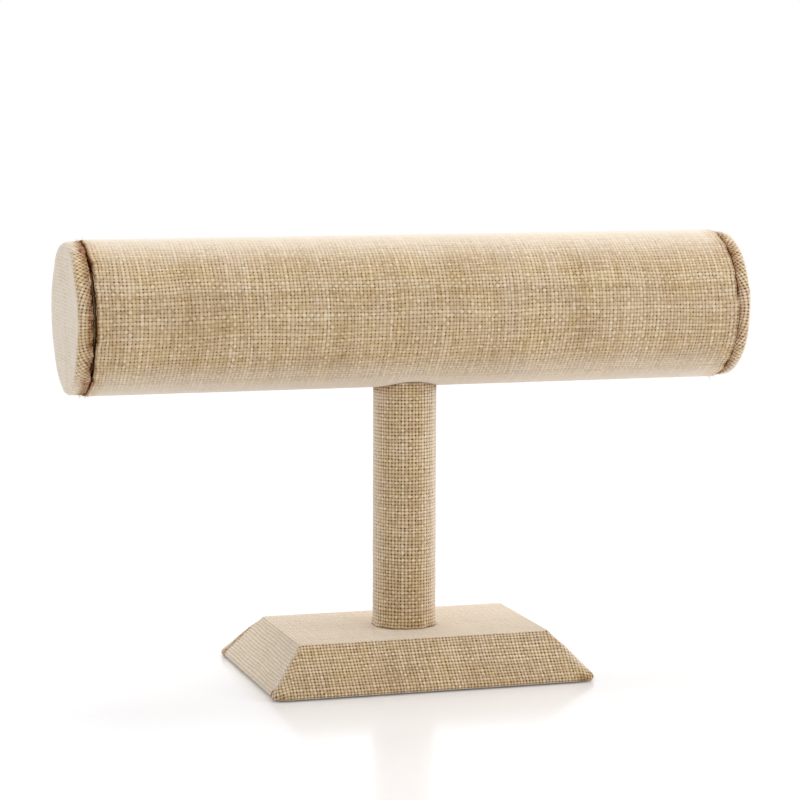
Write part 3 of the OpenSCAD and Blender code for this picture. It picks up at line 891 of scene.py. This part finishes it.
# %% Natural linen: the shades of the yarn
def thread_noise(along, across, grain, seed, detail):
    """Noise over the length and the width of a thread, each stretched by its own grain."""
    where = add(tree, "CombineXYZ", (along, across, seed))
    where = add(tree, "VectorMath", (where, (*grain, 1)), operation="MULTIPLY")
    return add(tree, "TexNoise", {"Vector": where, "Scale": 1.0, "Detail": detail})


def yarn_shade(along, thread, seed):
    """A value near 0.5 for each place of each thread: a random one of its own, from 0.15
    to 0.35, plus half of a noise that changes along it some three threads long."""
    number = add(tree, "Math", (thread, seed), operation="ADD")
    own = add(tree, "TexWhiteNoise", {"W": number}, noise_dimensions="1D")
    own = add(tree, "Math", (own, 0.2, 0.15), operation="MULTIPLY_ADD")
    slow = thread_noise(along, thread, (0.35, 3.7), seed, 2.0)
    return add(tree, "Math", (slow, 0.5, own), operation="MULTIPLY_ADD")


shade = add(tree, "Mix", {0: warp_on_top, 2: yarn_shade(t, column, 7.3), 3: yarn_shade(s, row, 1.9)})
warp_fibres = thread_noise(s, t, (1.3, 10), 2.0, 3.0)
weft_fibres = thread_noise(t, s, (1.3, 10), 5.0, 3.0)
fibres = add(tree, "Mix", {0: warp_on_top, 2: weft_fibres, 3: warp_fibres})
everywhere = add(tree, "TexCoord", output="Object")
patches = add(tree, "TexNoise", {"Vector": everywhere, "Scale": 45.0, "Detail": 2.0})
tone = add(tree, "Math", (fibres, 0.5, shade), operation="MULTIPLY_ADD")
tone = add(tree, "Math", (patches, 0.3, tone), operation="MULTIPLY_ADD")
tone = add(tree, "Math", (tone, 0.4), operation="SUBTRACT")
yarn = add(tree, "ValToRGB", {"Fac": tone})
stops = yarn.node.color_ramp.elements
stops[0].position, stops[0].color = 0.25, colour("BAA078")
stops[1].position, stops[1].color = 0.75, colour("F4E6CC")
stops.new(0.48).color = colour("DDC6A2")

# %% [markdown]
# A hole is where both waves have fallen low. Holes vary: where threads lie close there
# is hardly one, and where a thin thread passes it is wide open. Each piece gets its own
# amount of painted shade, which widens its holes and deepens its dips: most on the base
# and the right cap, less on the post and the left cap, least on the bar. Round each hole
# the threads dip, and the dip lies in shade, which is painted into the colour here. Here
# and there two neighbouring threads have parted, which shows as a short dark line.

# %% Natural linen: the holes and the lines between threads
def parted(across, along, wave, seed):
    """How far two neighbouring threads have parted at a place along the line between
    them: 0 nearly everywhere, and up to 1 for stretches some five threads long. It is a
    noise that is kept where it is high, times how near the place is to the line."""
    line = add(tree, "Math", (across,), operation="ROUND")
    apart = thread_noise(along, line, (0.2, 5.3), seed, 2.0)
    apart = add(tree, "MapRange", {"Value": apart, "From Min": 0.45, "From Max": 0.7})
    near_line = add(tree, "MapRange", {
        "Value": wave, "From Min": 0.2, "From Max": 0.6, "To Min": 1.0, "To Max": 0.0,
    })
    return add(tree, "Math", (apart, near_line), operation="MULTIPLY")


nearest_s = add(tree, "Math", (s,), operation="ROUND")
nearest_t = add(tree, "Math", (t,), operation="ROUND")
nearest = add(tree, "CombineXYZ", {"X": nearest_s, "Y": nearest_t})
hole_size = add(tree, "TexWhiteNoise", {"Vector": nearest}, noise_dimensions="3D")
# Painted shade for the whole piece: the higher it is, the wider the dark holes and the darker the dips.
piece_shade = add(tree, "Attribute", output=2, attribute_name="piece_shade")
hole_rim = add(tree, "Math", (hole_size, 0.45, 0.02), operation="MULTIPLY_ADD")
hole_rim = add(tree, "Math", (piece_shade, 0.18, hole_rim), operation="MULTIPLY_ADD")
hole_end = add(tree, "Math", (hole_rim, 0.22), operation="ADD")
closeness = add(tree, "Math", (wave_s, wave_t), operation="MAXIMUM")
hole = add(tree, "MapRange", {
    "Value": closeness, "From Min": hole_rim, "From Max": hole_end, "To Min": 1.0, "To Max": 0.0,
}, interpolation_type="SMOOTHSTEP")
# Painted shade round the holes: the dips are darkened in the colour, more on pieces with more painted shade.
dip_shade_strength = add(tree, "Math", (piece_shade, 0.25, 0.3), operation="MULTIPLY_ADD")
painted_dip_shade = add(tree, "MapRange", {
    "Value": cloth_height, "From Min": 0.75, "From Max": 1.3, "To Min": dip_shade_strength, "To Max": 0.0,
}, interpolation_type="SMOOTHSTEP")
weft_lines = add(tree, "Math", (parted(t, s, wave_t, 8.6), 0.7), operation="MULTIPLY")
lines = add(tree, "Math", (parted(s, t, wave_s, 3.1), weft_lines), operation="MAXIMUM")
lines = add(tree, "Math", (lines, 0.6), operation="MULTIPLY")
# Holes, painted dips and parted lines are mixed to one dark brown: partly glue and board, partly painted
# shade.
dark = add(tree, "Math", (hole, painted_dip_shade), operation="MAXIMUM")
dark = add(tree, "Math", (dark, lines), operation="MAXIMUM")
cloth = add(tree, "Mix", {0: dark, 6: yarn, 7: colour("6A4D2C")}, 2, data_type="RGBA")

# %% [markdown]
# Flax isn't one colour all over: how its stalks were steeped tints the fibre, so the
# cloth is faintly pinker or yellower in patches some 10 mm wide. Where a point's stain is
# high the cloth turns amber in blotches. On the base's corners and round the post's foot
# that is glue that has soaked through. The bar is amber towards both ends too, and on its
# folds and end faces, on the caps' rims and backs and along the post's saddle the amber is
# painted shade, where the parts meet and round the caps' rims. Where a drop of glue stood,
# it dried as a reddish spot.

# %% Natural linen: patches and stains
warmth = add(tree, "TexNoise", {"Vector": everywhere, "Scale": 110.0, "Detail": 2.0})
warmth = add(tree, "MapRange", {"Value": warmth, "From Min": 0.35, "From Max": 0.65})
warmth = add(tree, "Mix", {0: warmth, 6: colour("FCF8F8"), 7: colour("FFFAF0")}, 2, data_type="RGBA")
cloth = add(tree, "Mix", {0: 1.0, 6: cloth, 7: warmth}, 2, data_type="RGBA", blend_type="MULTIPLY")

# Each point's stain: amber glue in some places, painted shade in the gaps between parts and on the caps' rims
# in others.
soaked_and_shaded = add(tree, "Attribute", output=2, attribute_name="stain_and_shade")
blotch = add(tree, "TexNoise", {"Vector": everywhere, "Scale": 260.0, "Detail": 3.0})
blotch = add(tree, "Math", (soaked_and_shaded, blotch), operation="MULTIPLY")
blotch = add(tree, "MapRange", {"Value": blotch, "From Min": 0.12, "From Max": 0.45})
amber = add(tree, "Mix", {0: blotch, 6: colour("FFFFFF"), 7: colour("A0703F")}, 2, data_type="RGBA")
cloth = add(tree, "Mix", {0: 1.0, 6: cloth, 7: amber}, 2, data_type="RGBA", blend_type="MULTIPLY")
drop = add(tree, "MapRange", {"Value": soaked_and_shaded, "From Min": 1.02, "From Max": 1.15, "To Max": 0.7})
cloth = add(tree, "Mix", {0: drop, 6: cloth, 7: colour("CC8560")}, 2, data_type="RGBA")

# %% [markdown]
# The bump gives the last of the shape, the roundness of one thread over the next and
# the fibres on it. Flax is dull, but fine loose fibres stand off its threads all over,
# and seen at a slant they cover the weave with a pale sheen. That sheen is painted: the
# shader mixes in a pale diffuse colour by how slantwise the surface is seen. Where glue
# has soaked the cloth, and where the same amber is painted shade, none is mixed in.

# %% Natural linen: the shader
relief = add(tree, "Math", (fibres, 0.35, cloth_height), operation="MULTIPLY_ADD")
bump = add(tree, "Bump", {"Strength": 0.6, "Distance": 0.22 * MM, "Height": relief})
surface = add(tree, "BsdfPrincipled", {
    "Base Color": cloth, "Roughness": 0.9, "Normal": bump, "Specular IOR Level": 0.2,
})
stain_and_shade_full = add(tree, "Math", (soaked_and_shaded, 1.2), operation="MULTIPLY")
stain_and_shade_full = add(tree, "Math", (stain_and_shade_full, 1), operation="MINIMUM")
no_stain_no_shade = add(tree, "Math", (1, stain_and_shade_full), operation="SUBTRACT")
# Painted sheen: a pale diffuse colour mixed in by how slantwise the surface is seen, none where the cloth is
# stained or painted with shade.
slant = add(tree, "LayerWeight", {"Blend": 0.5}, "Facing")
slant = add(tree, "Math", (slant, no_stain_no_shade), operation="MULTIPLY")
cover = add(tree, "MapRange", {"Value": slant, "From Min": 0.22, "From Max": 0.85, "To Max": 0.88})
loose_fibres = add(tree, "BsdfDiffuse", {"Color": colour("F1E8DB")})
painted_sheen = add(tree, "MixShader", (cover, surface, loose_fibres))
add(tree, "OutputMaterial", {"Surface": painted_sheen}, None)
print(f"{linen.name}: {len(tree.nodes)} nodes")

# %% [markdown]
# The loose fibres that are modelled are single flax fibres, from as dark as the yarn to
# nearly white. Flax has a faint gloss, so they are a little smoother than the cloth.

# %% Flax fibre
flax, tree = new_material("flax_fibre")
everywhere = add(tree, "TexCoord", output="Object")
fibre_shade = add(tree, "TexNoise", {"Vector": everywhere, "Scale": 700.0, "Detail": 1.0})
strand = add(tree, "ValToRGB", {"Fac": fibre_shade})
stops = strand.node.color_ramp.elements
stops[0].position, stops[0].color = 0.3, colour("B49A72")
stops[1].position, stops[1].color = 0.7, colour("E9DBC0")
surface = add(tree, "BsdfPrincipled", {"Base Color": strand, "Roughness": 0.7, "Specular IOR Level": 0.3})
add(tree, "OutputMaterial", {"Surface": surface}, None)
print(f"{flax.name}: {len(tree.nodes)} nodes")

# %% [markdown]
# What the linen hides gets its real material too, because the part can be taken to
# pieces. The tube and the discs are grey board: waste paper rolled or pressed, with
# short fibres of many shades and no gloss.

# %% Grey board, rolled and pressed
board, tree = new_material("grey_board")
everywhere = add(tree, "TexCoord", output="Object")
specks = add(tree, "TexNoise", {"Vector": everywhere, "Scale": 900.0, "Detail": 4.0, "Roughness": 0.7})
clouds = add(tree, "TexNoise", {"Vector": everywhere, "Scale": 60.0, "Detail": 3.0})
mixed = add(tree, "Math", (specks, clouds), operation="ADD")
mixed = add(tree, "Math", (mixed, 0.5), operation="MULTIPLY")
paper = add(tree, "ValToRGB", {"Fac": mixed})
stops = paper.node.color_ramp.elements
stops[0].position, stops[0].color = 0.35, colour("8F7B62")
stops[1].position, stops[1].color = 0.65, colour("C9B898")
bump = add(tree, "Bump", {"Strength": 0.4, "Distance": 0.1 * MM, "Height": specks})
surface = add(tree, "BsdfPrincipled", {
    "Base Color": paper, "Roughness": 0.85, "Normal": bump, "Specular IOR Level": 0.3,
})
add(tree, "OutputMaterial", {"Surface": surface}, None)
print(f"{board.name}: {len(tree.nodes)} nodes")

# %% [markdown]
# The post, the block and the plugs are pine, sawn and sanded but not finished, since
# cloth is glued over them. A growth ring is about 2 mm wide: pale early wood that turns
# slowly into a thin dark line of late wood. Rings are distances from the tree's axis,
# which lies far off to one side here, along the length of the grain.

# %% Pine, sanded
TREE_AXIS = (0.041, 0.073)
RINGS_PER_M = 500.0


def pine(name, grain):
    """Pine with its grain along one axis, "X" or "Z". How far a place is through its ring
    is the fraction of its distance from the tree's axis in rings, and a noise of 6 mm
    along the grain makes that distance waver."""
    material, tree = new_material(name)
    everywhere = add(tree, "TexCoord", output="Object")
    place = add(tree, "SeparateXYZ", {"Vector": everywhere}).node
    across = [place.outputs[axis] for axis in "XYZ" if axis != grain]
    off = [add(tree, "Math", pair, operation="ADD") for pair in zip(across, TREE_AXIS)]
    wobble = add(tree, "TexNoise", {"Vector": everywhere, "Scale": 14.0, "Detail": 2.0})
    wobble = add(tree, "Math", (wobble, 0.006), operation="MULTIPLY")
    off = add(tree, "CombineXYZ", (*off, wobble))
    from_axis = add(tree, "VectorMath", (off,), 1, operation="LENGTH")
    rings = add(tree, "Math", (from_axis, RINGS_PER_M), operation="MULTIPLY")
    ring = add(tree, "Math", (rings,), operation="FRACT")
    stretch = tuple(30.0 if axis == grain else 1400.0 for axis in "XYZ")
    pores = add(tree, "Mapping", {"Vector": everywhere, "Scale": stretch})
    pores = add(tree, "TexNoise", {"Vector": pores, "Scale": 1.0, "Detail": 2.0})
    wood = add(tree, "ValToRGB", {"Fac": ring})
    stops = wood.node.color_ramp.elements
    stops[0].position, stops[0].color = 0.0, colour("E3CBA0")
    stops[1].position, stops[1].color = 0.9, colour("B98A54")
    stops.new(0.6).color = colour("DDBF8F")
    stops.new(1.0).color = colour("E3CBA0")
    bump = add(tree, "Bump", {"Strength": 0.3, "Distance": 0.05 * MM, "Height": pores})
    surface = add(tree, "BsdfPrincipled", {
        "Base Color": wood, "Roughness": 0.7, "Normal": bump, "Specular IOR Level": 0.4,
    })
    add(tree, "OutputMaterial", {"Surface": surface}, None)
    print(f"{material.name}: {len(tree.nodes)} nodes")
    return material


pine_along = pine("pine_sanded_along", "X")
pine_upright = pine("pine_sanded_upright", "Z")

# %% [markdown]
# The pad under the base is pressed wool felt in dark grey: a mat of fibres with no
# weave, so its pattern is one fine twisted noise, and it has the sheen of loose fibres.

# %% Felt, pressed
felt, tree = new_material("pressed_felt")
everywhere = add(tree, "TexCoord", output="Object")
hairs = add(tree, "TexNoise", {"Vector": everywhere, "Scale": 1500.0, "Detail": 4.0, "Distortion": 1.5})
wool = add(tree, "ValToRGB", {"Fac": hairs})
stops = wool.node.color_ramp.elements
stops[0].position, stops[0].color = 0.3, colour("37312D")
stops[1].position, stops[1].color = 0.7, colour("6A625B")
bump = add(tree, "Bump", {"Strength": 0.7, "Distance": 0.2 * MM, "Height": hairs})
surface = add(tree, "BsdfPrincipled", {
    "Base Color": wool, "Roughness": 0.95, "Normal": bump,
    "Specular IOR Level": 0.2, "Sheen Weight": 0.4, "Sheen Roughness": 0.5,
})
add(tree, "OutputMaterial", {"Surface": surface}, None)
print(f"{felt.name}: {len(tree.nodes)} nodes")

# %% [markdown]
# The screws and washers are zinc-plated steel. Plating leaves a metal a little duller
# than polished, with faint clouds of different roughness where it took unevenly.

# %% Steel, zinc-plated
steel, tree = new_material("zinc_plated_steel")
everywhere = add(tree, "TexCoord", output="Object")
plating = add(tree, "TexNoise", {"Vector": everywhere, "Scale": 400.0, "Detail": 3.0})
dullness = add(tree, "MapRange", {"Value": plating, "To Min": 0.25, "To Max": 0.45})
zinc = add(tree, "ValToRGB", {"Fac": plating})
stops = zinc.node.color_ramp.elements
stops[0].position, stops[0].color = 0.3, colour("B9BCC0")
stops[1].position, stops[1].color = 0.7, colour("CFD1D3")
surface = add(tree, "BsdfPrincipled", {"Base Color": zinc, "Metallic": 1.0, "Roughness": dullness})
add(tree, "OutputMaterial", {"Surface": surface}, None)
print(f"{steel.name}: {len(tree.nodes)} nodes")

# %% Give every piece its material and its body
for node, material in {
    "bar_tube": board, "left_cap_board": board, "right_cap_board": board,
    "left_cap_plug": pine_along, "right_cap_plug": pine_along, "base_block": pine_along,
    "post_core": pine_upright, "base_pad": felt,
    "bar_screw": steel, "bar_washer": steel, "base_screw": steel, "base_washer": steel,
}.items():
    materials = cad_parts[node].data.materials
    materials.clear()
    materials.append(material)

for piece, node in (
    (bar_linen, "bar_cover"), (left_cap_linen, "left_cap_cover"), (right_cap_linen, "right_cap_cover"),
    (post_linen, "post_cover"), (base_linen, "base_cover"),
):
    piece.data.materials.append(linen)
    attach(piece, "root")
    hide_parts(node)

fibres_piece.data.materials.append(flax)
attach(fibres_piece, "root")

# %% [markdown]
# Here the size that each piece of linen was cut to is worked out. The bar's is its
# length with the two turned-in ends by its girth with the lap. A cap's is a circle, as
# wide as the face, the rim and the margin. The post's is its girth with the lap by its
# height, and a little more for the sides of the saddle. The base's runs down the slopes
# and under on both sides.

# %% Cut sizes of the linen
SADDLE_SIDES = 3 * MM

bar_cut = (2 * math.pi * bar_r + LAP_W, 2 * (tube_half + skin + TUBE_WALL + BAR_HEM))
cap_cut = 2 * (cap_board_r + (board_high[0] - board_low[0]) + 2 * skin + CAP_HEM)
post_cut = (2 * math.pi * post_r + LAP_W, bar_axis_z - bar_r - post_low_z + SADDLE_SIDES)
base_cut = [2 * (top + BLOCK_TOP_CORNER_R + slope_l + 2 * skin + BASE_HEM) for top in top_core]
cuts = (bar_cut, (cap_cut, cap_cut), post_cut, base_cut)
print("cut sizes in mm:", [[round(side / MM) for side in cut] for cut in cuts])

# %% [markdown]
# The stand is photographed on a glossy white sweep in a light tent. The floor keeps the
# stand's shadow and a faint reflection of the post. What the camera sees of the floor
# is lifted to white by a little light of its own, and not by more light on the stand.

# %% The floor
FLOOR_HALF = 3.0
FLOOR_GLOW = 0.08

mesh = bpy.data.meshes.new("floor")
corners = np.array([[-1, -1, 0], [1, -1, 0], [1, 1, 0], [-1, 1, 0]]) * FLOOR_HALF
mesh.from_pydata(corners.tolist(), [], [(0, 1, 2, 3)])
floor = bpy.data.objects.new("floor", mesh)
bpy.context.scene.collection.objects.link(floor)
sweep, tree = new_material("white_acrylic_sweep")
seen = add(tree, "LightPath").node.outputs
lit = add(tree, "BsdfPrincipled", {
    "Base Color": colour("F4F4F6"), "Roughness": 0.15, "Specular IOR Level": 0.5,
})
glow = add(tree, "Emission", {"Color": colour("FFFFFF"), "Strength": FLOOR_GLOW})
lifted = add(tree, "AddShader", (lit, glow))
surface = add(tree, "MixShader", (seen["Is Camera Ray"], lit, lifted))
add(tree, "OutputMaterial", {"Surface": surface}, None)
mesh.materials.append(sweep)
print(f"floor: {2 * FLOOR_HALF:.0f} m square")

# %% [markdown]
# A light tent lights from everywhere, a little more from above and from the right. The
# world is the tent's cloth. The camera and reflections see it as plain white.

# %% Light
TENT_LIGHT = 0.85

world = bpy.data.worlds.new("light_tent")
bpy.context.scene.world = world
world.use_nodes = True
tree = world.node_tree
tree.nodes.clear()
seen = add(tree, "LightPath").node.outputs
direct = add(tree, "Math", (seen["Is Camera Ray"], seen["Is Glossy Ray"]), operation="MAXIMUM")
direct = add(tree, "Math", (direct, seen["Is Transmission Ray"]), operation="MAXIMUM")
strength = add(tree, "Mix", {0: direct, 2: TENT_LIGHT, 3: 1.0})
tent = add(tree, "Background", {"Color": colour("FFFFFF"), "Strength": strength})
add(tree, "OutputWorld", {"Surface": tent}, None)


def add_lamp(name, place, towards, width, watts, shade):
    """A square soft lamp at a place, turned to shine on a point, both in metres."""
    data = bpy.data.lights.new(name, "AREA")
    data.shape, data.size, data.energy = "SQUARE", width, watts
    data.color = colour(shade)[:3]
    lamp = bpy.data.objects.new(name, data)
    lamp.location = place
    lamp.rotation_mode = "QUATERNION"
    lamp.rotation_quaternion = (Vector(towards) - Vector(place)).to_track_quat("-Z", "Y")
    bpy.context.scene.collection.objects.link(lamp)
    print(f"{name}: {width} m square, {watts} W")


add_lamp("lamp_above", (0.1, 0.35, 1.1), (0.0, 0.0, 0.05), 0.6, 4.0, "FFFBF8")
add_lamp("lamp_right", (0.75, -0.25, 0.4), (0.0, 0.0, 0.08), 0.4, 2.0, "FFFAF6")

# %% [markdown]
# The camera stands to the left of the stand, a little above the bar, with a long lens.
# Its place and lens were found by fitting the stand's known edges to the photograph.

# %% The camera
CAMERA_AT = Vector((-271.851, -884.136, 206.010)) * MM
YAW, PITCH_DOWN, ROLL = -0.2966, -0.1225, 0.0031
FOCAL_PX, IMAGE_PX, SENSOR_MM = 2763.0, 800, 36

level_ahead = Vector((-math.sin(YAW), math.cos(YAW), 0))
ahead = level_ahead * math.cos(PITCH_DOWN) + Vector((0, 0, math.sin(PITCH_DOWN)))
level_right = Vector((math.cos(YAW), math.sin(YAW), 0))
level_up = level_right.cross(ahead)
right = level_right * math.cos(ROLL) + level_up * math.sin(ROLL)
up = level_up * math.cos(ROLL) - level_right * math.sin(ROLL)
data = bpy.data.cameras.new("camera")
data.sensor_width = SENSOR_MM
data.lens = FOCAL_PX * SENSOR_MM / IMAGE_PX
data.clip_start, data.clip_end = 0.05, 20
camera = bpy.data.objects.new("camera", data)
camera.matrix_world = Matrix((
    (right.x, up.x, -ahead.x, CAMERA_AT.x),
    (right.y, up.y, -ahead.y, CAMERA_AT.y),
    (right.z, up.z, -ahead.z, CAMERA_AT.z),
    (0, 0, 0, 1),
))
bpy.context.scene.collection.objects.link(camera)
bpy.context.scene.camera = camera
bpy.context.scene.view_settings.view_transform = "Standard"
print(f"camera {CAMERA_AT.length:.2f} m from the stand, {data.lens:.0f} mm lens")
